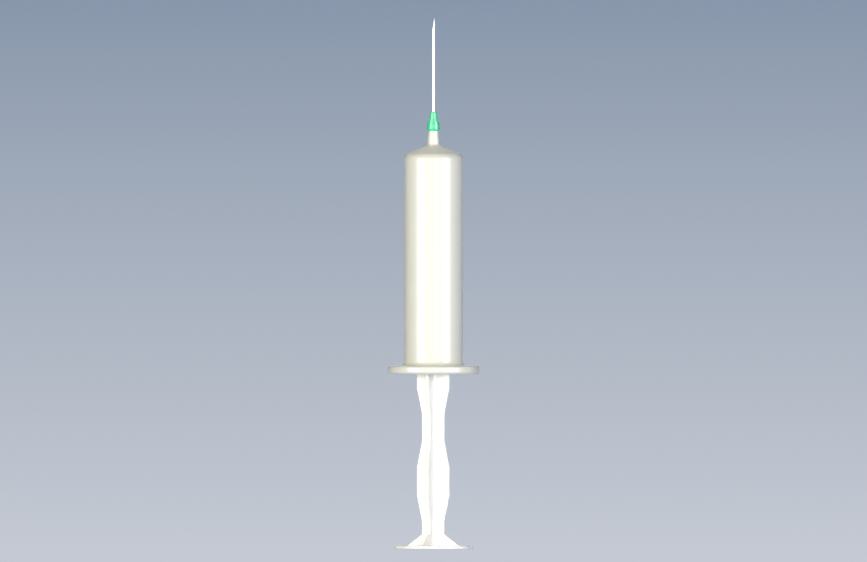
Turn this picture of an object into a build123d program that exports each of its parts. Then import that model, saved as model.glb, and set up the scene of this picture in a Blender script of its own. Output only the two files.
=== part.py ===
from build123d import *
import os
from math import cos, radians, sin, sqrt, tan

# A disposable 20 ml syringe with a hypodermic needle, drawn up and standing on its thumb rest.
# Millimetres. +Z runs along the syringe's axis towards the needle's point.
# The origin is the centre of the thumb rest's lower face.

# Barrel: a tube with a round finger flange, a conical shoulder and a nozzle, moulded in one
BORE_RADIUS = 10.2
BARREL_WALL = 1.6
BARREL_LENGTH = 87.64            # flange's lower face to the corner of the wall and the shoulder cone
BORE_MOUTH_CHAMFER = 0.5
FLANGE_WIDTH = 6.5               # how far the flange stands out past the barrel's wall
FLANGE_THICKNESS = 3.2
FLANGE_RIM_ROUND = 1.0
FLANGE_ROOT_ROUND = 1.8
STOP_BEAD_HEIGHT = 0.15          # how far the bead that keeps the stopper in stands into the bore
STOP_BEAD_WIDTH = 1.6
STOP_BEAD_PLACE = 2.4            # flange's lower face to the bead's crest
SHOULDER_SLOPE = 22.4            # degrees above the horizontal
SHOULDER_ROUND = 2.6
SHOULDER_WALL = 1.6
BORE_END_ROUND = 1.0

# Nozzle: a visible cone, then a 6 % conical fitting that the needle hub is pushed onto
NOZZLE_MOUTH_RADIUS = 2.01       # at the hub's mouth
NOZZLE_FLARE = 0.45              # how much wider the visible cone is at its foot
NOZZLE_SHOWN = 5.7               # foot of the visible cone to the hub's mouth
NOZZLE_SEAT = 2.8                # length inside the hub
NOZZLE_ROOT_ROUND = 1.2
NOZZLE_TIP_ROUND = 0.2
FIT_TAPER = 0.06                 # change of diameter for each length
LUMEN_RADIUS = 0.95

# Plunger rod: thumb rest, crossed wavy ribs, piston disc, neck and snap head, moulded in one
ROD_SHOWN = 70.0                 # thumb rest's lower face to the flange's lower face, drawn up
STROKE_IN = 60.0                 # from the drawn-up place to the bore's end
THUMB_RADIUS = 15.8
THUMB_THICKNESS = 1.2
THUMB_RIM_ROUND = 0.5
GRIP_RINGS = 3
GRIP_RING_INSET = 2.7            # thumb rest's rim to the middle of the outermost ring
GRIP_RING_PITCH = 3.6
GRIP_RING_WIDTH = 1.2
GRIP_RING_DEPTH = 0.3
RIB_THICKNESS = 1.06
RIB_NARROW = 4.8                 # reach of a rib from the axis at a waist
RIB_WIDE = 6.95                  # and at a swell
RIB_EDGE_ROUND = 0.18
RIB_CORNER_ROUND = 1.6           # in the corners where the ribs cross
RIB_TURN = -21.8                 # degrees that the cross is turned about the axis
WAVE_WAIST = 11.2
WAVE_TAPER = 10.3
WAVE_SWELL = 11.2
GUSSET_REACH = 11.3
GUSSET_HEIGHT = 4.6
PISTON_DISC_THICKNESS = 1.4
PISTON_DISC_ROUND = 0.3
PISTON_GUSSET_INSET = 0.7        # piston disc's rim to the ends of the gussets below it
PISTON_GUSSET_HEIGHT = 3.6
NECK_RADIUS = 3.4
HEAD_CATCH = 1.4                 # how far the head's rim stands out past the neck
HEAD_RIM = 1.2
HEAD_RIM_ROUND = 0.25
HEAD_NOSE_TAPER = 2.2            # how much narrower the head is at its nose
HEAD_NOSE_HEIGHT = 2.4
HEAD_NOSE_ROUND = 0.6

# Stopper: a rubber cup with sealing bands, snapped over the rod's head
STOPPER_SIDE = 8.6               # rear face to the corner of the side and the front cone
STOPPER_LIP = 2.0                # rubber lip behind the rod's head
STOPPER_WAIST_DEPTH = 0.65       # how deep the side lies below the sealing bands
STOPPER_BANDS = 3
STOPPER_BAND_WIDTH = 1.5
STOPPER_BAND_ROUND = 0.3
STOPPER_FRONT_ROUND = 1.1
STOPPER_NOSE_RADIUS = 1.6
STOPPER_MOUTH_ROUND = 0.4
STOPPER_SOCKET_ROUND = 0.3

# Needle: a hub, a steel tube with a lancet point, and the bead that bonds them
HUB_MOUTH_WALL = 0.225
HUB_SKIRT_SWELL = 0.35           # how far the skirt stands out past its mouth
HUB_SKIRT_CHAMFER = 0.8
HUB_SKIRT_DRAFT = 0.1            # how much narrower the skirt is at its top
HUB_BAND_STEP = 0.3              # from the skirt's top in to the band
HUB_BAND_LENGTH = 1.0
HUB_CONE_LENGTH = 1.1
HUB_NECK_LENGTH = 2.5
HUB_NECK_DRAFT = 0.16
HUB_RIM = 0.33                   # wall round the adhesive well at the hub's top
HUB_EDGE_ROUND = 0.12
HUB_WAIST_ROUND = 0.35
HUB_FUNNEL_RADIUS = 1.2
HUB_FUNNEL_HEIGHT = 1.0
HUB_LEDGE = 0.3                  # rim inside the hub that the steel tube stands on
HUB_WELL_GAP = 0.415             # steel tube to the well's wall at the hub's top
HUB_WELL_TAPER = 0.2             # how much narrower the well is at its floor
HUB_WELL_DEPTH = 1.2
CANNULA_RADIUS = 0.635
CANNULA_WALL = 0.215
CANNULA_SHOWN = 39.6             # hub's top to the point
BEVEL_LENGTH = 8.2
LANCET_LENGTH = 3.4              # length of the two side grinds at the point
LANCET_TURN = 35.0               # degrees that each side grind is turned about the point
BOND_MENISCUS = 0.15

# Clearances
STOPPER_CLEARANCE = 0.03         # stopper's bands in the bore, on the radius
STOPPER_END_GAP = 0.2            # stopper's front to the bore's end at the full stroke
DISC_EDGE_CLEARANCE = 0.6        # piston disc in the bore, on the radius
DISC_CLEARANCE = 0.05            # piston disc to the stopper's rear face
HEAD_CLEARANCE = 0.1             # round the rod's neck and head in the stopper
HUB_CLEARANCE = 0.015            # hub on the nozzle, on the radius
HUB_END_GAP = 0.2                # nozzle's tip to the floor of the hub's socket
CANNULA_CLEARANCE = 0.015        # steel tube in the hub, on the radius
BOND_CLEARANCE = 0.01

# Radii worked out from the sizes above
BARREL_RADIUS = BORE_RADIUS + BARREL_WALL
FLANGE_RADIUS = BARREL_RADIUS + FLANGE_WIDTH
NOZZLE_BASE_RADIUS = NOZZLE_MOUTH_RADIUS + NOZZLE_FLARE
STOPPER_RADIUS = BORE_RADIUS - STOPPER_CLEARANCE
PISTON_DISC_RADIUS = BORE_RADIUS - DISC_EDGE_CLEARANCE
HEAD_RADIUS = NECK_RADIUS + HEAD_CATCH
HEAD_NOSE_RADIUS = HEAD_RADIUS - HEAD_NOSE_TAPER
HUB_MOUTH_RADIUS = NOZZLE_MOUTH_RADIUS + HUB_CLEARANCE + HUB_MOUTH_WALL
HUB_SKIRT_RADIUS = HUB_MOUTH_RADIUS + HUB_SKIRT_SWELL
HUB_STEP_RADIUS = HUB_SKIRT_RADIUS - HUB_SKIRT_DRAFT
HUB_BAND_RADIUS = HUB_STEP_RADIUS - HUB_BAND_STEP
CANNULA_BORE = CANNULA_RADIUS - CANNULA_WALL
HUB_WELL_RADIUS = CANNULA_RADIUS + HUB_WELL_GAP
HUB_WELL_FLOOR_RADIUS = HUB_WELL_RADIUS - HUB_WELL_TAPER
HUB_TOP_RADIUS = HUB_WELL_RADIUS + HUB_RIM
HUB_NECK_RADIUS = HUB_TOP_RADIUS + HUB_NECK_DRAFT

# Heights worked out from the sizes above
SLOPE = tan(radians(SHOULDER_SLOPE))
FLANGE_FACE = ROD_SHOWN
FLANGE_TOP = FLANGE_FACE + FLANGE_THICKNESS
SHOULDER_CORNER = FLANGE_FACE + BARREL_LENGTH
NOZZLE_BASE = SHOULDER_CORNER + (BARREL_RADIUS - NOZZLE_BASE_RADIUS) * SLOPE
HUB_MOUTH = NOZZLE_BASE + NOZZLE_SHOWN
NOZZLE_TIP = HUB_MOUTH + NOZZLE_SEAT
BORE_END = SHOULDER_CORNER + BARREL_WALL * SLOPE - SHOULDER_WALL / cos(radians(SHOULDER_SLOPE))
LUMEN_FOOT = BORE_END + (BORE_RADIUS - LUMEN_RADIUS) * SLOPE
STOPPER_CORNER = BORE_END - STOPPER_END_GAP - STROKE_IN
STOPPER_REAR = STOPPER_CORNER - STOPPER_SIDE
DISC_FRONT = STOPPER_REAR - DISC_CLEARANCE
DISC_REAR = DISC_FRONT - PISTON_DISC_THICKNESS
NECK_TOP = STOPPER_REAR + STOPPER_LIP + HEAD_CLEARANCE
HEAD_RIM_TOP = NECK_TOP + HEAD_RIM
HEAD_TOP = HEAD_RIM_TOP + HEAD_NOSE_HEIGHT
SOCKET_FLOOR = NOZZLE_TIP + HUB_END_GAP
HUB_BAND_TOP = SOCKET_FLOOR + HUB_BAND_LENGTH
HUB_NECK_FOOT = HUB_BAND_TOP + HUB_CONE_LENGTH
HUB_TOP = HUB_NECK_FOOT + HUB_NECK_LENGTH
CANNULA_FOOT = SOCKET_FLOOR + HUB_FUNNEL_HEIGHT + HUB_LEDGE
NEEDLE_POINT = HUB_TOP + CANNULA_SHOWN


def turned(outline):
    """A solid of revolution about Z from corners (radius, height, corner round)."""
    points = [(radius, height) for radius, height, corner in outline]
    rounds = [corner for radius, height, corner in outline]
    section = make_face(FilletPolyline(*points, radius=rounds, close=True))
    return revolve(Plane.XZ * section, Axis.Z)


def fit_radius(mouth_radius, length):
    """The conical fitting's radius at a length past its mouth."""
    return mouth_radius - length * FIT_TAPER / 2


def barrel():
    """The wall's section, up the outside from the flange to the nozzle's tip and back down the bore."""
    bead_crest = FLANGE_FACE + STOP_BEAD_PLACE
    outside = [
        (BORE_RADIUS + BORE_MOUTH_CHAMFER, FLANGE_FACE, 0),
        (FLANGE_RADIUS, FLANGE_FACE, FLANGE_RIM_ROUND),
        (FLANGE_RADIUS, FLANGE_TOP, FLANGE_RIM_ROUND),
        (BARREL_RADIUS, FLANGE_TOP, FLANGE_ROOT_ROUND),
        (BARREL_RADIUS, SHOULDER_CORNER, SHOULDER_ROUND),
        (NOZZLE_BASE_RADIUS, NOZZLE_BASE, NOZZLE_ROOT_ROUND),
        (NOZZLE_MOUTH_RADIUS, HUB_MOUTH, 0),
        (fit_radius(NOZZLE_MOUTH_RADIUS, NOZZLE_SEAT), NOZZLE_TIP, NOZZLE_TIP_ROUND),
    ]
    inside = [
        (LUMEN_RADIUS, NOZZLE_TIP, 0),
        (LUMEN_RADIUS, LUMEN_FOOT, 0),
        (BORE_RADIUS, BORE_END, BORE_END_ROUND),
        (BORE_RADIUS, bead_crest + STOP_BEAD_WIDTH / 2, 0),
        (BORE_RADIUS - STOP_BEAD_HEIGHT, bead_crest, 0),
        (BORE_RADIUS, bead_crest - STOP_BEAD_WIDTH / 2, 0),
        (BORE_RADIUS, FLANGE_FACE + BORE_MOUTH_CHAMFER, 0),
    ]
    return turned(outside + inside)


def rib_plate():
    """One flat rib across the rod, with rounded edges that swell and narrow in waves and a gusset at each end."""
    pitch = WAVE_WAIST + WAVE_SWELL + 2 * WAVE_TAPER
    edge = [
        (GUSSET_REACH, THUMB_THICKNESS),
        (RIB_NARROW, THUMB_THICKNESS + GUSSET_HEIGHT),
        (RIB_NARROW, WAVE_WAIST),
        (RIB_WIDE, WAVE_WAIST + WAVE_TAPER),
        (RIB_WIDE, WAVE_WAIST + WAVE_TAPER + WAVE_SWELL),
        (RIB_NARROW, pitch),
        (RIB_NARROW, pitch + WAVE_WAIST),
        (RIB_WIDE, pitch + WAVE_WAIST + WAVE_TAPER),
        (RIB_WIDE, DISC_REAR - PISTON_GUSSET_HEIGHT),
        (PISTON_DISC_RADIUS - PISTON_GUSSET_INSET, DISC_REAR),
    ]
    other_edge = [(-reach, height) for reach, height in reversed(edge)]
    outline = make_face(Polyline(*edge, *other_edge, close=True))
    plate = extrude(Plane.XZ * outline, amount=RIB_THICKNESS / 2, both=True)
    long_edges = plate.edges().filter_by(
        lambda side: side.length > RIB_THICKNESS + 0.001
        and abs(side.center().X) > RIB_NARROW / 2
    )
    return fillet(long_edges, RIB_EDGE_ROUND)


def rib_core():
    """The middle of the cross, with its four inner corners rounded, from the thumb rest to the piston disc."""
    arm = RIB_THICKNESS + 3 * RIB_CORNER_ROUND
    cross = Rectangle(arm, RIB_THICKNESS) + Rectangle(RIB_THICKNESS, arm)
    inner = cross.vertices().filter_by(lambda corner: max(abs(corner.X), abs(corner.Y)) < arm / 2)
    section = fillet(inner, RIB_CORNER_ROUND)
    return extrude(Plane.XY.offset(THUMB_THICKNESS) * section, amount=DISC_REAR - THUMB_THICKNESS)


def thumb_rest():
    """A thin round plate with a rounded rim and shallow grip rings in its lower face."""
    plate = turned([
        (0, 0, 0),
        (THUMB_RADIUS, 0, THUMB_RIM_ROUND),
        (THUMB_RADIUS, THUMB_THICKNESS, THUMB_RIM_ROUND),
        (0, THUMB_THICKNESS, 0),
    ])
    for ring in range(GRIP_RINGS):
        middle = THUMB_RADIUS - GRIP_RING_INSET - ring * GRIP_RING_PITCH
        groove = Circle(middle + GRIP_RING_WIDTH / 2) - Circle(middle - GRIP_RING_WIDTH / 2)
        plate -= extrude(groove, amount=GRIP_RING_DEPTH)
    return plate


def rod_head():
    """Piston disc, neck and the coned head that snaps into the stopper."""
    return turned([
        (0, DISC_REAR, 0),
        (PISTON_DISC_RADIUS, DISC_REAR, PISTON_DISC_ROUND),
        (PISTON_DISC_RADIUS, DISC_FRONT, PISTON_DISC_ROUND),
        (NECK_RADIUS, DISC_FRONT, 0),
        (NECK_RADIUS, NECK_TOP, 0),
        (HEAD_RADIUS, NECK_TOP, HEAD_RIM_ROUND),
        (HEAD_RADIUS, HEAD_RIM_TOP, HEAD_RIM_ROUND),
        (HEAD_NOSE_RADIUS, HEAD_TOP, HEAD_NOSE_ROUND),
        (0, HEAD_TOP, 0),
    ])


def plunger_rod():
    """Thumb rest, crossed ribs and head as one moulding."""
    plate = rib_plate()
    cross = plate + Rot(Z=90) * plate + rib_core()
    return thumb_rest() + Rot(Z=RIB_TURN) * cross + rod_head()


def stopper():
    """Rubber cup: sealing bands up its side, a front cone that matches the shoulder, a socket for the head."""
    waist = STOPPER_RADIUS - STOPPER_WAIST_DEPTH
    pitch = (STOPPER_SIDE - STOPPER_BAND_WIDTH) / (STOPPER_BANDS - 1)
    side = []
    for band in range(STOPPER_BANDS):
        foot = STOPPER_REAR + band * pitch
        if band > 0:
            side.append((waist, foot, STOPPER_BAND_ROUND))
        side.append((STOPPER_RADIUS, foot, STOPPER_BAND_ROUND))
        if band < STOPPER_BANDS - 1:
            side.append((STOPPER_RADIUS, foot + STOPPER_BAND_WIDTH, STOPPER_BAND_ROUND))
            side.append((waist, foot + STOPPER_BAND_WIDTH, STOPPER_BAND_ROUND))
    nose = STOPPER_CORNER + (STOPPER_RADIUS - STOPPER_NOSE_RADIUS) * SLOPE
    front = [
        (STOPPER_RADIUS, STOPPER_CORNER, STOPPER_FRONT_ROUND),
        (STOPPER_NOSE_RADIUS, nose, 0),
        (0, nose, 0),
    ]
    socket = [
        (0, HEAD_TOP + HEAD_CLEARANCE, 0),
        (HEAD_NOSE_RADIUS + HEAD_CLEARANCE, HEAD_TOP + HEAD_CLEARANCE, STOPPER_SOCKET_ROUND),
        (HEAD_RADIUS + HEAD_CLEARANCE, HEAD_RIM_TOP + HEAD_CLEARANCE, STOPPER_SOCKET_ROUND),
        (HEAD_RADIUS + HEAD_CLEARANCE, STOPPER_REAR + STOPPER_LIP, 0),
        (NECK_RADIUS + HEAD_CLEARANCE, STOPPER_REAR + STOPPER_LIP, 0),
        (NECK_RADIUS + HEAD_CLEARANCE, STOPPER_REAR, STOPPER_MOUTH_ROUND),
    ]
    return turned(side + front + socket)


def needle_hub():
    """Skirt over the nozzle, band, neck and adhesive well, with the conical socket and the tube's seat inside."""
    socket_mouth = NOZZLE_MOUTH_RADIUS + HUB_CLEARANCE
    seat_radius = CANNULA_RADIUS + CANNULA_CLEARANCE
    outside = [
        (HUB_MOUTH_RADIUS, HUB_MOUTH, 0),
        (HUB_SKIRT_RADIUS, HUB_MOUTH + HUB_SKIRT_CHAMFER, HUB_WAIST_ROUND),
        (HUB_STEP_RADIUS, SOCKET_FLOOR, HUB_EDGE_ROUND),
        (HUB_BAND_RADIUS, SOCKET_FLOOR, 0),
        (HUB_BAND_RADIUS, HUB_BAND_TOP, HUB_EDGE_ROUND),
        (HUB_NECK_RADIUS, HUB_NECK_FOOT, HUB_WAIST_ROUND),
        (HUB_TOP_RADIUS, HUB_TOP, HUB_EDGE_ROUND),
    ]
    inside = [
        (HUB_WELL_RADIUS, HUB_TOP, 0),
        (HUB_WELL_FLOOR_RADIUS, HUB_TOP - HUB_WELL_DEPTH, 0),
        (seat_radius, HUB_TOP - HUB_WELL_DEPTH, 0),
        (seat_radius, CANNULA_FOOT, 0),
        (CANNULA_BORE, CANNULA_FOOT, 0),
        (CANNULA_BORE, CANNULA_FOOT - HUB_LEDGE, 0),
        (HUB_FUNNEL_RADIUS, SOCKET_FLOOR, 0),
        (fit_radius(socket_mouth, SOCKET_FLOOR - HUB_MOUTH), SOCKET_FLOOR, 0),
        (socket_mouth, HUB_MOUTH, 0),
    ]
    return turned(outside + inside)


def ground_away(fall, turn):
    """What a flat grind takes off the tube: a plane through the point, turned about it, that falls across the tube."""
    across = 2 * CANNULA_RADIUS
    far = 2 * across
    plane = [(0, 0), (-far, -fall * far / across)]
    wedge = make_face(Polyline(*plane, (-far, far), (far, far), (far, 0), close=True))
    grind = Rot(Z=turn) * extrude(Plane.XZ * wedge, amount=far, both=True)
    return Pos(CANNULA_RADIUS, 0, NEEDLE_POINT) * grind


def needle_cannula():
    """Steel tube with a long bevel that faces -X and two side grinds that make a lancet point on its +X side."""
    foot = CANNULA_FOOT + CANNULA_CLEARANCE
    tube = Circle(CANNULA_RADIUS) - Circle(CANNULA_BORE)
    blank = extrude(Plane.XY.offset(foot) * tube, amount=NEEDLE_POINT - foot)
    point = blank - ground_away(BEVEL_LENGTH, 0)
    # With this fall the side grinds run out into the bevel LANCET_LENGTH below the point
    run_out = sqrt(LANCET_LENGTH / (BEVEL_LENGTH - LANCET_LENGTH))
    turn = radians(LANCET_TURN)
    side_fall = BEVEL_LENGTH * run_out / (sin(turn) + run_out * cos(turn))
    for side_turn in (-LANCET_TURN, LANCET_TURN):
        point -= ground_away(side_fall, side_turn)
    return point


def hub_bond():
    """Bead of adhesive that fills the well round the steel tube and is drawn up it in a small meniscus."""
    inner = CANNULA_RADIUS + BOND_CLEARANCE
    floor = HUB_TOP - HUB_WELL_DEPTH + BOND_CLEARANCE
    return turned([
        (inner, floor, 0),
        (HUB_WELL_FLOOR_RADIUS - BOND_CLEARANCE, floor, 0),
        (HUB_WELL_RADIUS - BOND_CLEARANCE, HUB_TOP, 0),
        (inner, HUB_TOP + BOND_MENISCUS, 0),
    ])


def main():
    """Writes each piece to a STEP file of its own."""
    pieces = {
        "barrel": barrel(),
        "plunger_rod": plunger_rod(),
        "stopper": stopper(),
        "needle_hub": needle_hub(),
        "needle_cannula": needle_cannula(),
        "hub_bond": hub_bond(),
    }
    os.makedirs("parts", exist_ok=True)
    for name, piece in pieces.items():
        export_step(piece, f"parts/{name}.step")


main()
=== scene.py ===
import bpy
import numpy as np
from math import cos, hypot, pi, radians, sin, sqrt, tan
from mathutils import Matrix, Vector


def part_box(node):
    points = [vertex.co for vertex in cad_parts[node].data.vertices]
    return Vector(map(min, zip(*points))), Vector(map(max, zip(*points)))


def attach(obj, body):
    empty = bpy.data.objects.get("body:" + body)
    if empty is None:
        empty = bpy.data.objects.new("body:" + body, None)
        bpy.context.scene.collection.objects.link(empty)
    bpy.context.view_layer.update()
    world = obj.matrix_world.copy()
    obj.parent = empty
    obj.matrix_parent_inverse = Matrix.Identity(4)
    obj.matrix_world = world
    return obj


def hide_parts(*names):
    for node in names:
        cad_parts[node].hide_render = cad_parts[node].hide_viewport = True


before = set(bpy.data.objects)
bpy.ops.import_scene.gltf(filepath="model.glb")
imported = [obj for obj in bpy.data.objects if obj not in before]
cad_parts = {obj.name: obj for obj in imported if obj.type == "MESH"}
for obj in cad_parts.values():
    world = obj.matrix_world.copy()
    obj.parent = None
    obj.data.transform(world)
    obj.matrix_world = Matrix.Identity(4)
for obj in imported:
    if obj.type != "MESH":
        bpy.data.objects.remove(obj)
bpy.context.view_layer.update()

# A disposable syringe with a hypodermic needle, drawn up and standing on its thumb rest.
# Metres, +Z along the syringe's axis towards the needle's point, -Y towards the viewer.
# Sizes are written in millimetres and turned to metres when a mesh is made.
MM = 0.001


# Heights in millimetres, read from the CAD nodes


def height(node, end):
    """The lowest (end 0) or highest (end 1) height of a CAD node."""
    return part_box(node)[end].z / MM


FLANGE_FACE = height("barrel", 0)
NOZZLE_TIP = height("barrel", 1)
STOPPER_REAR = height("stopper", 0)
STOPPER_NOSE = height("stopper", 1)
HEAD_TOP = height("plunger_rod", 1)
HUB_MOUTH = height("needle_hub", 0)
HUB_TOP = height("needle_hub", 1)
CANNULA_FOOT = height("needle_cannula", 0)
NEEDLE_POINT = height("needle_cannula", 1)

# Barrel, in millimetres
BORE = 10.2
BARREL_WALL = 1.6
FLANGE_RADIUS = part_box("barrel")[1].x / MM
FLANGE_THICKNESS = 3.2
FLANGE_RIM_ROUND = 1.0
FLANGE_ROOT_ROUND = 1.8
BORE_MOUTH_CHAMFER = 0.5
STOP_BEAD_HEIGHT = 0.15
STOP_BEAD_WIDTH = 1.6
STOP_BEAD_PLACE = 2.4
SHOULDER_SLOPE = tan(radians(22.4))
SHOULDER_ROUND = 2.6
SHOULDER_WALL = 1.6
BORE_END_ROUND = 1.0
NOZZLE_MOUTH = 2.01
NOZZLE_FLARE = 0.45
NOZZLE_SHOWN = 5.7
NOZZLE_ROOT_ROUND = 1.2
NOZZLE_TIP_ROUND = 0.2
FIT_TAPER = 0.06
LUMEN = 0.95

# Plunger rod
THUMB_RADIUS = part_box("plunger_rod")[1].x / MM
THUMB_THICKNESS = 1.2
THUMB_RIM_ROUND = 0.5
GRIP_RINGS = 3
GRIP_RING_INSET = 2.7
GRIP_RING_PITCH = 3.6
GRIP_RING_WIDTH = 1.2
GRIP_RING_DEPTH = 0.3
RIB_THICKNESS = 1.06
RIB_NARROW = 4.8
RIB_WIDE = 6.95
RIB_EDGE_ROUND = 0.18
RIB_CORNER_ROUND = 1.6
RIB_ROOT_ROUND = 0.3
RIB_TURN = radians(-21.8)
WAVE_WAIST = 11.2
WAVE_TAPER = 10.3
WAVE_SWELL = 11.2
GUSSET_REACH = 11.3
GUSSET_HEIGHT = 4.6
DISC_EDGE_CLEARANCE = 0.6
DISC_CLEARANCE = 0.05
DISC_THICKNESS = 1.4
DISC_ROUND = 0.3
DISC_GUSSET_INSET = 0.7
DISC_GUSSET_HEIGHT = 3.6
NECK_RADIUS = 3.4
HEAD_RADIUS = 4.8
HEAD_RIM = 1.2
HEAD_RIM_ROUND = 0.25
HEAD_NOSE_RADIUS = 2.6
HEAD_NOSE_HEIGHT = 2.4
HEAD_NOSE_ROUND = 0.6

# Stopper
STOPPER_CLEARANCE = 0.03
STOPPER_SIDE = 8.6
STOPPER_LIP = 2.0
STOPPER_WAIST_DEPTH = 0.65
STOPPER_BANDS = 3
STOPPER_BAND_WIDTH = 1.5
STOPPER_BAND_ROUND = 0.3
STOPPER_FRONT_ROUND = 1.1
STOPPER_NOSE_RADIUS = 1.6
STOPPER_MOUTH_ROUND = 0.4
STOPPER_SOCKET_ROUND = 0.3
HEAD_CLEARANCE = 0.1

# Needle
HUB_CLEARANCE = 0.015
HUB_MOUTH_RADIUS = 2.25
HUB_SKIRT_RADIUS = 2.6
HUB_SKIRT_CHAMFER = 0.8
HUB_SOCKET_DEPTH = 3.0
HUB_STEP_RADIUS = 2.5
HUB_BAND_RADIUS = 2.2
HUB_BAND_LENGTH = 1.0
HUB_COLLAR_RADIUS = 1.82
HUB_COLLAR_LENGTH = 0.72
HUB_NECK_RADIUS = 1.54
HUB_TOP_RADIUS = 1.38
HUB_EDGE_ROUND = 0.12
HUB_WAIST_ROUND = 0.35
HUB_FUNNEL_RADIUS = 1.2
HUB_FUNNEL_HEIGHT = 1.0
HUB_WELL_RADIUS = 1.05
HUB_WELL_FLOOR_RADIUS = 0.85
HUB_WELL_DEPTH = 1.2
CANNULA_RADIUS = 0.635
CANNULA_BORE = 0.42
CANNULA_CLEARANCE = 0.015
BEVEL_LENGTH = 8.2
LANCET_LENGTH = 3.4
LANCET_TURN = radians(35.0)
BOND_CLEARANCE = 0.01
BOND_MENISCUS = 0.15

# The least round of an edge, the points held beside an arc, and the rings next to a pole
BREAK_ROUND = 0.05
HOLD = 0.12
POLE_RADIUS = 0.5
WIDE_POLE_RADIUS = 1.0

# How finely the surfaces are divided
ARC_STEP = radians(7)
LEAST_ARC_POINTS = 3
AROUND_BARREL = 288
AROUND_STOPPER = 192
AROUND_NEEDLE = 128
AROUND_ROOM = 96
RIB_EDGE_POINTS = 6
RIB_SIDE_POINTS = 16
RIB_SIDE_CROWDING = 0.8
RIB_CORNER_POINTS = 14
FILLET_LEVELS = 6
CLIMB_LEVELS = 5
LEVEL_DECIMALS = 4
GRIND_RINGS = 7
TUBE_RINGS = 25
SHARP_ANGLE = radians(32)


# Shapes


def rounded(corners, closed):
    """Straight runs joined by arcs, through corners (radius, height, corner round).

    At a corner with half angle a between its runs, the arc's centre lies round / sin(a) along the
    bisector and touches both runs round / tan(a) from the corner. Each run gets a point HOLD from
    each end, so that the shading of its face isn't pulled round by the arc's.
    """
    spots = np.array([corner[:2] for corner in corners], float)
    line = []
    count = len(corners)
    for index, (radius, level, bend) in enumerate(corners):
        here = spots[index]
        inner = closed or 0 < index < count - 1
        if not inner or bend == 0:
            arc = here[None]
        else:
            back = spots[index - 1] - here
            ahead = spots[(index + 1) % count] - here
            back /= hypot(*back)
            ahead /= hypot(*ahead)
            half = np.arccos(np.clip(back @ ahead, -1, 1)) / 2
            bisector = (back + ahead) / hypot(*(back + ahead))
            centre = here + bisector * bend / sin(half)
            first = here + back * bend / tan(half) - centre
            last = here + ahead * bend / tan(half) - centre
            sweep = pi - 2 * half
            points = max(LEAST_ARC_POINTS, int(sweep / ARC_STEP) + 2)
            share = np.linspace(0, 1, points)[:, None]
            spread = first * np.sin((1 - share) * sweep) + last * np.sin(share * sweep)
            arc = centre + spread / sin(sweep)
        line.append(arc)
    runs = []
    for index, arc in enumerate(line):
        runs.append(arc)
        if not closed and index == count - 1:
            break
        start = arc[-1]
        end = line[(index + 1) % count][0]
        length = hypot(*(end - start))
        if length > 4 * HOLD:
            runs.append(start + (end - start) * np.array([[HOLD / length], [1 - HOLD / length]]))
    return np.concatenate(runs)


def skin(name, rings, closed):
    """A mesh from rings of points, as an array of ring by place on the ring by coordinate.

    Each face joins two places on one ring to the same two on the next. A closed surface's last ring
    joins the first. An open one ends in the middle of its first and last rings, each a single point
    with a fan of triangles.
    """
    count, around, _ = rings.shape
    place = np.arange(around)
    after = np.roll(place, -1)
    lower = np.arange(count if closed else count - 1)[:, None] * around
    upper = np.roll(np.arange(count), -1)[: len(lower), None] * around
    quads = np.stack([lower + place, lower + after, upper + after, upper + place], -1).reshape(-1, 4)
    points = rings.reshape(-1, 3)
    faces = quads.tolist()
    if not closed:
        poles = rings[[0, -1]].mean(1)
        first, last = len(points), len(points) + 1
        top = (count - 1) * around
        points = np.concatenate([points, poles])
        faces += np.stack([np.full(around, first), after, place], -1).tolist()
        faces += np.stack([np.full(around, last), top + place, top + after], -1).tolist()
    mesh = bpy.data.meshes.new(name)
    mesh.from_pydata((points * MM).tolist(), [], faces)
    mesh.shade_smooth()
    mesh.set_sharp_from_angle(angle=SHARP_ANGLE)
    piece = bpy.data.objects.new(name, mesh)
    bpy.context.scene.collection.objects.link(piece)
    return piece


def turned(name, profile, around, closed):
    """A surface of revolution about Z: each profile point (radius, height) runs round a full circle."""
    turn = np.linspace(0, 2 * pi, around, endpoint=False)
    radius = profile[:, :1]
    level = np.broadcast_to(profile[:, 1:], (len(profile), around))
    return skin(name, np.stack([radius * np.cos(turn), radius * np.sin(turn), level], -1), closed)


def fit_radius(mouth_radius, length):
    """The 6 % conical fitting's radius at a length past its mouth."""
    return mouth_radius - length * FIT_TAPER / 2


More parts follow.
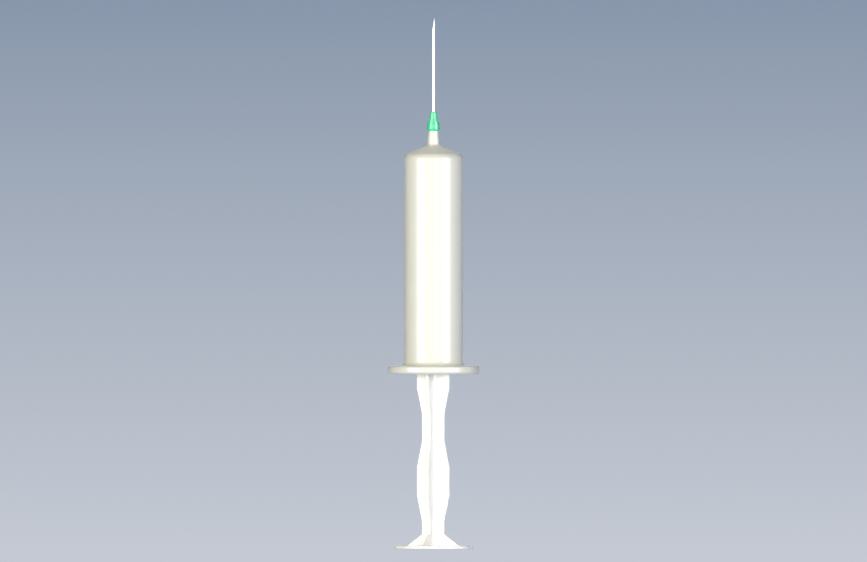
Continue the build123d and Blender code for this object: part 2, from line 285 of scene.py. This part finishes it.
def barrel():
    """Flange, tube, shoulder and nozzle as one profile, up the outside and back down the bore."""
    outer = BORE + BARREL_WALL
    foot = NOZZLE_MOUTH + NOZZLE_FLARE
    nozzle_base = HUB_MOUTH - NOZZLE_SHOWN
    shoulder = nozzle_base - (outer - foot) * SHOULDER_SLOPE
    bore_end = shoulder + BARREL_WALL * SHOULDER_SLOPE - SHOULDER_WALL * hypot(1, SHOULDER_SLOPE)
    bead = FLANGE_FACE + STOP_BEAD_PLACE
    flange_top = FLANGE_FACE + FLANGE_THICKNESS
    profile = rounded([
        (BORE + BORE_MOUTH_CHAMFER, FLANGE_FACE, BREAK_ROUND),
        (FLANGE_RADIUS, FLANGE_FACE, FLANGE_RIM_ROUND),
        (FLANGE_RADIUS, flange_top, FLANGE_RIM_ROUND),
        (outer, flange_top, FLANGE_ROOT_ROUND),
        (outer, shoulder, SHOULDER_ROUND),
        (foot, nozzle_base, NOZZLE_ROOT_ROUND),
        (NOZZLE_MOUTH, HUB_MOUTH, 0),
        (fit_radius(NOZZLE_MOUTH, NOZZLE_TIP - HUB_MOUTH), NOZZLE_TIP, NOZZLE_TIP_ROUND),
        (LUMEN, NOZZLE_TIP, BREAK_ROUND),
        (LUMEN, bore_end + (BORE - LUMEN) * SHOULDER_SLOPE, BREAK_ROUND),
        (BORE, bore_end, BORE_END_ROUND),
        (BORE, bead + STOP_BEAD_WIDTH / 2, 0),
        (BORE - STOP_BEAD_HEIGHT, bead, BREAK_ROUND),
        (BORE, bead - STOP_BEAD_WIDTH / 2, 0),
        (BORE, FLANGE_FACE + BORE_MOUTH_CHAMFER, BREAK_ROUND),
    ], True)
    return turned("moulded_barrel", profile, AROUND_BARREL, True)


def cross_outline(reach, swell):
    """The crossed ribs' outline at each height, as an array of height by place by coordinate.

    reach is the ribs' reach from the axis and swell how far the outline is grown outwards, both one
    value for each height. Half of one rib's side runs from the middle of its tip, over a rounded
    edge and along its flat side into the round corner of the cross. Mirrored in the diagonal it
    makes a quarter, and four quarters turned by a right angle make the whole.
    """
    reach = (reach + swell)[:, None]
    half = RIB_THICKNESS / 2 + swell[:, None]
    corner = RIB_CORNER_ROUND - swell[:, None]
    edge_turn = np.linspace(0, pi / 2, RIB_EDGE_POINTS)
    core_turn = np.linspace(-pi / 2, -3 * pi / 4, RIB_CORNER_POINTS)
    along = 1 - np.linspace(0, 1, RIB_SIDE_POINTS)[1:-1] ** RIB_SIDE_CROWDING
    core = half + corner
    tip = reach - RIB_EDGE_ROUND
    x = np.concatenate([
        reach,
        tip + RIB_EDGE_ROUND * np.cos(edge_turn),
        core + (tip - core) * along,
        core + corner * np.cos(core_turn),
    ], 1)
    y = np.concatenate([
        np.zeros_like(reach),
        half - RIB_EDGE_ROUND + RIB_EDGE_ROUND * np.sin(edge_turn),
        half + 0 * along,
        core + corner * np.sin(core_turn),
    ], 1)
    quarter_x = np.concatenate([x, y[:, -2:0:-1]], 1)
    quarter_y = np.concatenate([y, x[:, -2:0:-1]], 1)
    turn = RIB_TURN + np.arange(4)[:, None] * pi / 2
    across = quarter_x[:, None] * np.cos(turn) - quarter_y[:, None] * np.sin(turn)
    deep = quarter_x[:, None] * np.sin(turn) + quarter_y[:, None] * np.cos(turn)
    return np.stack([across.reshape(len(x), -1), deep.reshape(len(x), -1)], -1)


def root_swell(rise):
    """How far a root fillet stands out at a distance from the plate it grows from."""
    lean = RIB_ROOT_ROUND - np.clip(rise, 0, RIB_ROOT_ROUND)
    return RIB_ROOT_ROUND - np.sqrt(RIB_ROOT_ROUND ** 2 - lean ** 2)


def plunger_rod():
    """Thumb rest, crossed wavy ribs, piston disc, neck and snap head as one skin.

    The rings start at the middle of the thumb rest's lower face, run over its grip rings and round
    its rim, change from circles to the cross's outline on its upper face, climb the ribs, change
    back to circles under the piston disc and end in the middle of the head's nose.
    """
    disc_rear = STOPPER_REAR - DISC_CLEARANCE - DISC_THICKNESS
    disc_front = disc_rear + DISC_THICKNESS
    disc_radius = BORE - DISC_EDGE_CLEARANCE
    neck_top = HEAD_TOP - HEAD_NOSE_HEIGHT - HEAD_RIM
    pitch = WAVE_WAIST + WAVE_SWELL + 2 * WAVE_TAPER
    waves = np.array([
        (THUMB_THICKNESS, GUSSET_REACH),
        (THUMB_THICKNESS + GUSSET_HEIGHT, RIB_NARROW),
        (WAVE_WAIST, RIB_NARROW),
        (WAVE_WAIST + WAVE_TAPER, RIB_WIDE),
        (WAVE_WAIST + WAVE_TAPER + WAVE_SWELL, RIB_WIDE),
        (pitch, RIB_NARROW),
        (pitch + WAVE_WAIST, RIB_NARROW),
        (pitch + WAVE_WAIST + WAVE_TAPER, RIB_WIDE),
        (disc_rear - DISC_GUSSET_HEIGHT, RIB_WIDE),
        (disc_rear, disc_radius - DISC_GUSSET_INSET),
    ])
    fillet = RIB_ROOT_ROUND * (1 - np.cos(np.linspace(0, pi / 2, FILLET_LEVELS)))
    steps = np.linspace(0, 1, CLIMB_LEVELS)[1:]
    climbs = waves[:-1, :1] + (waves[1:, :1] - waves[:-1, :1]) * steps
    levels = np.unique(np.concatenate([
        THUMB_THICKNESS + fillet,
        climbs.ravel(),
        disc_rear - fillet,
    ]).round(LEVEL_DECIMALS))
    swell = root_swell(levels - THUMB_THICKNESS) + root_swell(disc_rear - levels)
    ribs = cross_outline(np.interp(levels, *waves.T), swell)
    angle = np.arctan2(ribs[0, :, 1], ribs[0, :, 0])

    grooves = []
    for ring in reversed(range(GRIP_RINGS)):
        middle = THUMB_RADIUS - GRIP_RING_INSET - ring * GRIP_RING_PITCH
        low, high = middle - GRIP_RING_WIDTH / 2, middle + GRIP_RING_WIDTH / 2
        grooves += [
            (low, 0, BREAK_ROUND),
            (low, GRIP_RING_DEPTH, BREAK_ROUND),
            (high, GRIP_RING_DEPTH, BREAK_ROUND),
            (high, 0, BREAK_ROUND),
        ]
    below = rounded([
        (WIDE_POLE_RADIUS, 0, 0),
        *grooves,
        (THUMB_RADIUS, 0, THUMB_RIM_ROUND),
        (THUMB_RADIUS, THUMB_THICKNESS, THUMB_RIM_ROUND),
        (GUSSET_REACH + 2 * RIB_ROOT_ROUND + HOLD, THUMB_THICKNESS, 0),
    ], False)
    above = rounded([
        (disc_radius - DISC_GUSSET_INSET + RIB_ROOT_ROUND + HOLD, disc_rear, 0),
        (disc_radius, disc_rear, DISC_ROUND),
        (disc_radius, disc_front, DISC_ROUND),
        (NECK_RADIUS, disc_front, BREAK_ROUND),
        (NECK_RADIUS, neck_top, BREAK_ROUND),
        (HEAD_RADIUS, neck_top, HEAD_RIM_ROUND),
        (HEAD_RADIUS, neck_top + HEAD_RIM, HEAD_RIM_ROUND),
        (HEAD_NOSE_RADIUS, HEAD_TOP, HEAD_NOSE_ROUND),
        (POLE_RADIUS, HEAD_TOP, 0),
    ], False)

    def circles(profile):
        """Rings of the given (radius, height) points, with their places at the cross's angles."""
        level = np.broadcast_to(profile[:, 1:], (len(profile), len(angle)))
        return np.stack([profile[:, :1] * np.cos(angle), profile[:, :1] * np.sin(angle), level], -1)

    shaft = np.concatenate([ribs, np.broadcast_to(levels[:, None, None], ribs.shape[:2] + (1,))], -1)
    return skin("moulded_plunger_rod", np.concatenate([circles(below), shaft, circles(above)]), False)


def stopper():
    """Sealing bands up the side, front cone, and the socket that is snapped over the rod's head."""
    side_radius = BORE - STOPPER_CLEARANCE
    waist = side_radius - STOPPER_WAIST_DEPTH
    pitch = (STOPPER_SIDE - STOPPER_BAND_WIDTH) / (STOPPER_BANDS - 1)
    side = []
    for band in range(STOPPER_BANDS):
        foot = STOPPER_REAR + band * pitch
        if band > 0:
            side.append((waist, foot, STOPPER_BAND_ROUND))
        side.append((side_radius, foot, STOPPER_BAND_ROUND))
        if band < STOPPER_BANDS - 1:
            side.append((side_radius, foot + STOPPER_BAND_WIDTH, STOPPER_BAND_ROUND))
            side.append((waist, foot + STOPPER_BAND_WIDTH, STOPPER_BAND_ROUND))
    rim_top = HEAD_TOP - HEAD_NOSE_HEIGHT + HEAD_CLEARANCE
    lip = STOPPER_REAR + STOPPER_LIP
    socket = [
        (NECK_RADIUS + HEAD_CLEARANCE, lip, BREAK_ROUND),
        (NECK_RADIUS + HEAD_CLEARANCE, STOPPER_REAR, STOPPER_MOUTH_ROUND),
    ]
    start = [
        (POLE_RADIUS, HEAD_TOP + HEAD_CLEARANCE, 0),
        (HEAD_NOSE_RADIUS + HEAD_CLEARANCE, HEAD_TOP + HEAD_CLEARANCE, STOPPER_SOCKET_ROUND),
        (HEAD_RADIUS + HEAD_CLEARANCE, rim_top, STOPPER_SOCKET_ROUND),
        (HEAD_RADIUS + HEAD_CLEARANCE, lip, BREAK_ROUND),
    ]
    front = [
        (side_radius, STOPPER_REAR + STOPPER_SIDE, STOPPER_FRONT_ROUND),
        (STOPPER_NOSE_RADIUS, STOPPER_NOSE, STOPPER_BAND_ROUND),
        (POLE_RADIUS, STOPPER_NOSE, 0),
    ]
    profile = rounded(start + socket + side + front, False)
    return turned("moulded_stopper", profile, AROUND_STOPPER, False)


def needle_hub():
    """Skirt over the nozzle, band, collar, neck and adhesive well, and the conical socket inside."""
    socket_mouth = NOZZLE_MOUTH + HUB_CLEARANCE
    seat = CANNULA_RADIUS + CANNULA_CLEARANCE
    floor = HUB_MOUTH + HUB_SOCKET_DEPTH
    band_top = floor + HUB_BAND_LENGTH
    collar_top = band_top + HUB_COLLAR_LENGTH
    ledge_top = CANNULA_FOOT - CANNULA_CLEARANCE
    profile = rounded([
        (HUB_MOUTH_RADIUS, HUB_MOUTH, BREAK_ROUND),
        (HUB_SKIRT_RADIUS, HUB_MOUTH + HUB_SKIRT_CHAMFER, HUB_WAIST_ROUND),
        (HUB_STEP_RADIUS, floor, HUB_EDGE_ROUND),
        (HUB_BAND_RADIUS, floor, BREAK_ROUND),
        (HUB_BAND_RADIUS, band_top, HUB_EDGE_ROUND),
        (HUB_COLLAR_RADIUS, band_top, BREAK_ROUND),
        (HUB_COLLAR_RADIUS, collar_top, HUB_EDGE_ROUND),
        (HUB_NECK_RADIUS, collar_top, BREAK_ROUND),
        (HUB_TOP_RADIUS, HUB_TOP, HUB_EDGE_ROUND),
        (HUB_WELL_RADIUS, HUB_TOP, BREAK_ROUND),
        (HUB_WELL_FLOOR_RADIUS, HUB_TOP - HUB_WELL_DEPTH, BREAK_ROUND),
        (seat, HUB_TOP - HUB_WELL_DEPTH, 0),
        (seat, ledge_top, 0),
        (CANNULA_BORE, ledge_top, 0),
        (CANNULA_BORE, floor + HUB_FUNNEL_HEIGHT, BREAK_ROUND),
        (HUB_FUNNEL_RADIUS, floor, BREAK_ROUND),
        (fit_radius(socket_mouth, HUB_SOCKET_DEPTH), floor, BREAK_ROUND),
        (socket_mouth, HUB_MOUTH, BREAK_ROUND),
    ], True)
    return turned("moulded_needle_hub", profile, AROUND_NEEDLE, True)


def hub_bond():
    """The bead of adhesive in the well, drawn up the steel tube in a hollow meniscus."""
    inner = CANNULA_RADIUS + BOND_CLEARANCE
    floor = HUB_TOP - HUB_WELL_DEPTH + BOND_CLEARANCE
    middle = (inner + HUB_WELL_RADIUS) / 2
    profile = rounded([
        (inner, floor, 0),
        (HUB_WELL_FLOOR_RADIUS - BOND_CLEARANCE, floor, 0),
        (HUB_WELL_RADIUS - BOND_CLEARANCE, HUB_TOP, 0),
        (middle, HUB_TOP + BOND_MENISCUS / 4, 2 * BOND_MENISCUS),
        (inner, HUB_TOP + BOND_MENISCUS, 0),
    ], True)
    return turned("cured_bond_bead", profile, AROUND_NEEDLE, True)


def ground_height(x, y):
    """The height of the lancet point's three grinds over a place on the tube's section.

    Each grind is a plane through the point. It is turned about the point and falls across the tube,
    and the lowest of the three is what is left.
    """
    run_out = sqrt(LANCET_LENGTH / (BEVEL_LENGTH - LANCET_LENGTH))
    side_fall = BEVEL_LENGTH * run_out / (sin(LANCET_TURN) + run_out * cos(LANCET_TURN))
    across = 2 * CANNULA_RADIUS
    planes = []
    for fall, turn in ((BEVEL_LENGTH, 0), (side_fall, LANCET_TURN), (side_fall, -LANCET_TURN)):
        away = (x - CANNULA_RADIUS) * cos(turn) + y * sin(turn)
        planes.append(NEEDLE_POINT + fall * np.minimum(away, 0) / across)
    return np.min(planes, 0)


def needle_cannula():
    """The steel tube, outside, ground face, bore and foot, as rings that follow the grinds' height."""
    turn = np.linspace(0, 2 * pi, AROUND_NEEDLE, endpoint=False)
    radii = np.linspace(CANNULA_RADIUS, CANNULA_BORE, GRIND_RINGS)[:, None]
    face_x, face_y = radii * np.cos(turn), radii * np.sin(turn)
    face = np.stack([face_x, face_y, ground_height(face_x, face_y)], -1)
    share = np.linspace(0, 1, TUBE_RINGS)[:, None, None]
    foot = np.array([1, 1, 0]) * face[[0, -1]] + np.array([0, 0, CANNULA_FOOT])
    outside = foot[0] + (face[0] - foot[0]) * share[:-1]
    inside = face[-1] + (foot[1] - face[-1]) * share[1:]
    return skin("ground_needle_cannula", np.concatenate([outside, face, inside]), True)


# Materials

# Sizes of patterns, in millimetres
DRIFT_SIZE = 14
HAZE_SIZE = 3
DIE_LINE_SIZE = 0.05
DIE_LINE_HEIGHT = 0.0002

# The die's lines run fifty times as far along the tube as across it
DIE_LINE_SQUEEZE = 0.02

# The span that most of a noise's values fill
NOISE_LOW = 0.3
NOISE_HIGH = 0.7

# Places of the Mix node's colours among its inputs, and of the mixed colour among its outputs
MIX_FIRST = 6
MIX_SECOND = 7
MIXED = 2


def colour(code):
    """A linear colour from an sRGB hex value."""
    tone = np.array([int(code[place:place + 2], 16) for place in (1, 3, 5)]) / 255
    linear = np.where(tone <= 0.04045, tone / 12.92, ((tone + 0.055) / 1.055) ** 2.4)
    return (*linear.tolist(), 1.0)


def add(tree, kind, inputs=(), **settings):
    """One node with its settings. inputs maps a socket's name or place to a value or a socket."""
    node = tree.nodes.new(kind)
    for name, value in settings.items():
        setattr(node, name, value)
    for name, value in dict(inputs).items():
        if isinstance(value, bpy.types.NodeSocket):
            tree.links.new(value, node.inputs[name])
        else:
            node.inputs[name].default_value = value
    return node


def fresh(name):
    """An empty node material and its tree."""
    material = bpy.data.materials.new(name)
    material.use_nodes = True
    material.node_tree.nodes.clear()
    return material, material.node_tree


def finish_material(tree, shader):
    """Joins a shader to the material's output."""
    add(tree, "ShaderNodeOutputMaterial", {"Surface": shader.outputs[0]})


def moulded(name, pale, deep, rough_low, rough_high, peel_size, peel_height, **plastic):
    """What flowed and then set, in a mould or in air: two near tones, and a skin with a fine ripple.

    The tones drift over a centimetre or two, as the flow left them. The roughness wanders between
    its two values over a few millimetres. The ripple's size and height are in millimetres.
    """
    material, tree = fresh(name)
    place = add(tree, "ShaderNodeTexCoord").outputs["Object"]
    drift = add(tree, "ShaderNodeTexNoise", {
        "Vector": place, "Scale": 1 / (DRIFT_SIZE * MM), "Detail": 3.0,
    })
    tone = add(tree, "ShaderNodeMix", {
        "Factor": drift.outputs["Fac"], MIX_FIRST: colour(pale), MIX_SECOND: colour(deep),
    }, data_type="RGBA")
    haze = add(tree, "ShaderNodeTexNoise", {
        "Vector": place, "Scale": 1 / (HAZE_SIZE * MM), "Detail": 4.0,
    })
    rough = add(tree, "ShaderNodeMapRange", {
        "Value": haze.outputs["Fac"], "From Min": NOISE_LOW, "From Max": NOISE_HIGH,
        "To Min": rough_low, "To Max": rough_high,
    })
    peel = add(tree, "ShaderNodeTexNoise", {
        "Vector": place, "Scale": 1 / (peel_size * MM), "Detail": 2.0,
    })
    bump = add(tree, "ShaderNodeBump", {
        "Height": peel.outputs["Fac"], "Strength": 1.0, "Distance": peel_height * MM,
    })
    shader = add(tree, "ShaderNodeBsdfPrincipled", {
        "Base Color": tone.outputs[MIXED],
        "Roughness": rough.outputs["Result"],
        "Normal": bump.outputs["Normal"],
        **plastic,
    })
    finish_material(tree, shader)
    return material


def barrel_plastic():
    """Polypropylene, moulded in a polished cavity: milky white, with a soft gloss."""
    return moulded(
        "milky_polypropylene", pale="#DEDEDA", deep="#DBDBD6",
        rough_low=0.28, rough_high=0.3, peel_size=2.0, peel_height=0.0002, IOR=1.49,
    )


def rod_plastic():
    """Polyethylene, moulded in a spark-finished cavity: brighter white and more satin than the barrel."""
    return moulded(
        "satin_polyethylene", pale="#F8F8F8", deep="#F3F3F2",
        rough_low=0.4, rough_high=0.46, peel_size=0.6, peel_height=0.0008, IOR=1.51,
    )


def hub_plastic():
    """Green polypropylene, moulded in a polished cavity: clear bright green with tight highlights."""
    return moulded(
        "green_polypropylene", pale="#50D9A8", deep="#46CF9C",
        rough_low=0.2, rough_high=0.22, peel_size=0.8, peel_height=0.0001, IOR=1.49,
    )


def stopper_rubber():
    """Butyl rubber with a film of silicone oil: near black, with a wet sheen on a dull body."""
    return moulded(
        "oiled_butyl_rubber", pale="#2A2B2D", deep="#222325",
        rough_low=0.5, rough_high=0.62, peel_size=0.25, peel_height=0.006,
        **{"IOR": 1.52, "Coat Weight": 0.35, "Coat Roughness": 0.2},
    )


def needle_steel():
    """Stainless tube, drawn through a die and electropolished: bright, with faint lengthwise lines."""
    material, tree = fresh("drawn_stainless_steel")
    place = add(tree, "ShaderNodeTexCoord").outputs["Object"]
    drawn = add(tree, "ShaderNodeMapping", {"Vector": place, "Scale": (1.0, 1.0, DIE_LINE_SQUEEZE)})
    # The die's lines are a hundredth of a millimetre apart and are drawn five times as coarse
    lines = add(tree, "ShaderNodeTexNoise", {
        "Vector": drawn.outputs["Vector"], "Scale": 1 / (DIE_LINE_SIZE * MM), "Detail": 3.0,
    })
    rough = add(tree, "ShaderNodeMapRange", {
        "Value": lines.outputs["Fac"], "From Min": NOISE_LOW, "From Max": NOISE_HIGH,
        "To Min": 0.26, "To Max": 0.34,
    })
    tone = add(tree, "ShaderNodeMix", {
        "Factor": lines.outputs["Fac"], MIX_FIRST: colour("#E4E4E2"), MIX_SECOND: colour("#DCDCDA"),
    }, data_type="RGBA")
    bump = add(tree, "ShaderNodeBump", {
        "Height": lines.outputs["Fac"], "Strength": 1.0, "Distance": DIE_LINE_HEIGHT * MM,
    })
    shader = add(tree, "ShaderNodeBsdfPrincipled", {
        "Base Color": tone.outputs[MIXED],
        "Metallic": 1.0,
        "Roughness": rough.outputs["Result"],
        "Normal": bump.outputs["Normal"],
    })
    finish_material(tree, shader)
    return material


def bond_adhesive():
    """Light-cured acrylic adhesive: clear with a faint haze, and glass-smooth where it set in air."""
    return moulded(
        "cured_acrylic_adhesive", pale="#DDE6E0", deep="#D2DED7",
        rough_low=0.06, rough_high=0.12, peel_size=0.4, peel_height=0.001,
        **{"IOR": 1.5, "Transmission Weight": 0.4},
    )


# The object's pieces, each on its body and for its CAD node

for piece, node, body, slot, material in (
    (barrel(), "barrel", "barrel", "barrel_plastic", barrel_plastic()),
    (plunger_rod(), "plunger_rod", "rod", "rod_plastic", rod_plastic()),
    (stopper(), "stopper", "stopper", "stopper_rubber", stopper_rubber()),
    (needle_hub(), "needle_hub", "needle", "hub_plastic", hub_plastic()),
    (needle_cannula(), "needle_cannula", "needle", "needle_steel", needle_steel()),
    (hub_bond(), "hub_bond", "needle", "bond_adhesive", bond_adhesive()),
):
    piece.data.materials.append(material)
    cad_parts[node].data.materials.clear()
    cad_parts[node].data.materials.append(material)
    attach(piece, body)
    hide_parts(node)


# The studio: floor, wall and ceiling in one sweep, soft lamps, and the camera

# The photograph in pixels, with the row where the thumb rest stands
PHOTO_WIDTH = 867
PHOTO_HEIGHT = 562
GROUND_ROW = 549
MM_PER_PIXEL = 0.4

# The view's top edge and middle above the floor, and the camera's distance and reach, in metres
VIEW_TOP = GROUND_ROW * MM_PER_PIXEL * MM
VIEW_MIDDLE = (GROUND_ROW - PHOTO_HEIGHT / 2) * MM_PER_PIXEL * MM
CAMERA_DISTANCE = 0.6
CAMERA_REACH = 20

# The heights between which the wall's paint turns to the ceiling's, in metres
CEILING_TONE_START = 1.3 * VIEW_TOP
CEILING_TONE_END = 4 * VIEW_TOP

# The room, in millimetres
ROOM_RADIUS = 4000.0
ROOM_HEIGHT = 3000.0
ROOM_COVE = 30.0
FLOOR_FLATNESS = 0.001


def wall_paint():
    """Painted glow, no lamp: wall and ceiling give off their own light, pale at the foot, blue-grey at
    the needle's point.
    """
    material, tree = fresh("glowing_wall_backdrop")
    place = add(tree, "ShaderNodeTexCoord").outputs["Object"]
    level = add(tree, "ShaderNodeSeparateXYZ", {"Vector": place}).outputs["Z"]
    up = add(tree, "ShaderNodeMapRange", {"Value": level, "From Min": 0.0, "From Max": VIEW_TOP})
    wall = add(tree, "ShaderNodeMix", {
        "Factor": up.outputs["Result"], MIX_FIRST: colour("#C4C9D3"), MIX_SECOND: colour("#8897AB"),
    }, data_type="RGBA")
    overhead = add(tree, "ShaderNodeMapRange", {
        "Value": level, "From Min": CEILING_TONE_START, "From Max": CEILING_TONE_END,
    })
    room = add(tree, "ShaderNodeMix", {
        "Factor": overhead.outputs["Result"],
        MIX_FIRST: wall.outputs[MIXED], MIX_SECOND: colour("#7C7C7A"),
    }, data_type="RGBA")
    # The wall and ceiling glow with this painted colour, which also lights the syringe as a soft fill
    glow = add(tree, "ShaderNodeEmission", {"Color": room.outputs[MIXED], "Strength": 1.0})
    finish_material(tree, glow)
    return material


def floor_paint():
    """Pale matt floor paint with an even light of its own, and open to a view from below."""
    material, tree = fresh("pale_floor_paint")
    paint = add(tree, "ShaderNodeBsdfPrincipled", {
        "Base Color": colour("#8A8F98"), "Roughness": 0.9, "Specular IOR Level": 0.0,
        "Emission Color": colour("#C4C9D3"), "Emission Strength": 0.5,
    })
    below = add(tree, "ShaderNodeNewGeometry").outputs["Backfacing"]
    clear = add(tree, "ShaderNodeBsdfTransparent")
    shader = add(tree, "ShaderNodeMixShader", {0: below, 1: paint.outputs[0], 2: clear.outputs[0]})
    finish_material(tree, shader)
    return material


def studio():
    """A floor disc that runs up into a round wall and a domed ceiling, turned from one profile."""
    profile = rounded([
        (WIDE_POLE_RADIUS, 0, 0),
        (ROOM_RADIUS, 0, ROOM_COVE),
        (ROOM_RADIUS, ROOM_HEIGHT, ROOM_HEIGHT / 2),
        (WIDE_POLE_RADIUS, ROOM_HEIGHT, 0),
    ], False)
    # The profile is taken backwards, so that the room's faces point inwards
    room = turned("studio_sweep", profile[::-1], AROUND_ROOM, False)
    room.data.materials.append(wall_paint())
    room.data.materials.append(floor_paint())
    centres = np.zeros(3 * len(room.data.polygons), np.float32)
    room.data.polygons.foreach_get("center", centres)
    on_floor = centres[2::3] < FLOOR_FLATNESS * MM
    room.data.polygons.foreach_set("material_index", on_floor.astype(np.int32))
    # The lamps stand far outside the room, so it lets their light through
    room.visible_shadow = False


def lamp(name, azimuth, elevation, width, irradiance, tone):
    """A far, round, soft lamp. Its direction and width are in degrees.

    Azimuth runs to the right from the viewer's side and elevation up from the level. Irradiance is
    in watts a square metre.
    """
    light = bpy.data.lights.new(name, "SUN")
    light.angle = radians(width)
    light.energy = irradiance
    light.color = colour(tone)[:3]
    holder = bpy.data.objects.new(name, light)
    holder.rotation_euler = (pi / 2 - radians(elevation), 0, radians(azimuth))
    bpy.context.scene.collection.objects.link(holder)
    return holder


def lights():
    """Two broad lamps in front, warm on the left, a faint warm one at the left side and one behind.

    Two more at the sides give only highlights, the sharp white bands down the barrel.
    """
    lamp("front_left_lamp", -18, 4, 20, 1.75, "#FFF8D0")
    lamp("front_right_lamp", 12, 4, 20, 1.75, "#FCFDFF")
    left_highlight = lamp("left_highlight_lamp", -50, 2, 24, 3.8, "#FFFEF4")
    left_highlight.visible_diffuse = False
    right_highlight = lamp("right_highlight_lamp", 50, 2, 24, 4.4, "#FFFFFF")
    right_highlight.visible_diffuse = False
    lamp("left_side_lamp", -80, 8, 10, 0.08, "#FFE470")
    lamp("back_lamp", 180, 24, 20, 1.6, "#FFFFFF")
    world = bpy.data.worlds.new("studio_world")
    world.use_nodes = True
    world.node_tree.nodes["Background"].inputs["Color"].default_value = colour("#C4C9D3")
    bpy.context.scene.world = world
    bpy.context.scene.view_settings.view_transform = "Standard"


def camera():
    """A level view along +Y without perspective, framed as the photograph is."""
    lens = bpy.data.cameras.new("camera")
    lens.type = "ORTHO"
    lens.ortho_scale = PHOTO_WIDTH * MM_PER_PIXEL * MM
    lens.clip_end = CAMERA_REACH
    view = bpy.data.objects.new("camera", lens)
    view.location = (0, -CAMERA_DISTANCE, VIEW_MIDDLE)
    view.rotation_euler = (pi / 2, 0, 0)
    bpy.context.scene.collection.objects.link(view)
    bpy.context.scene.camera = view


studio()
lights()
camera()
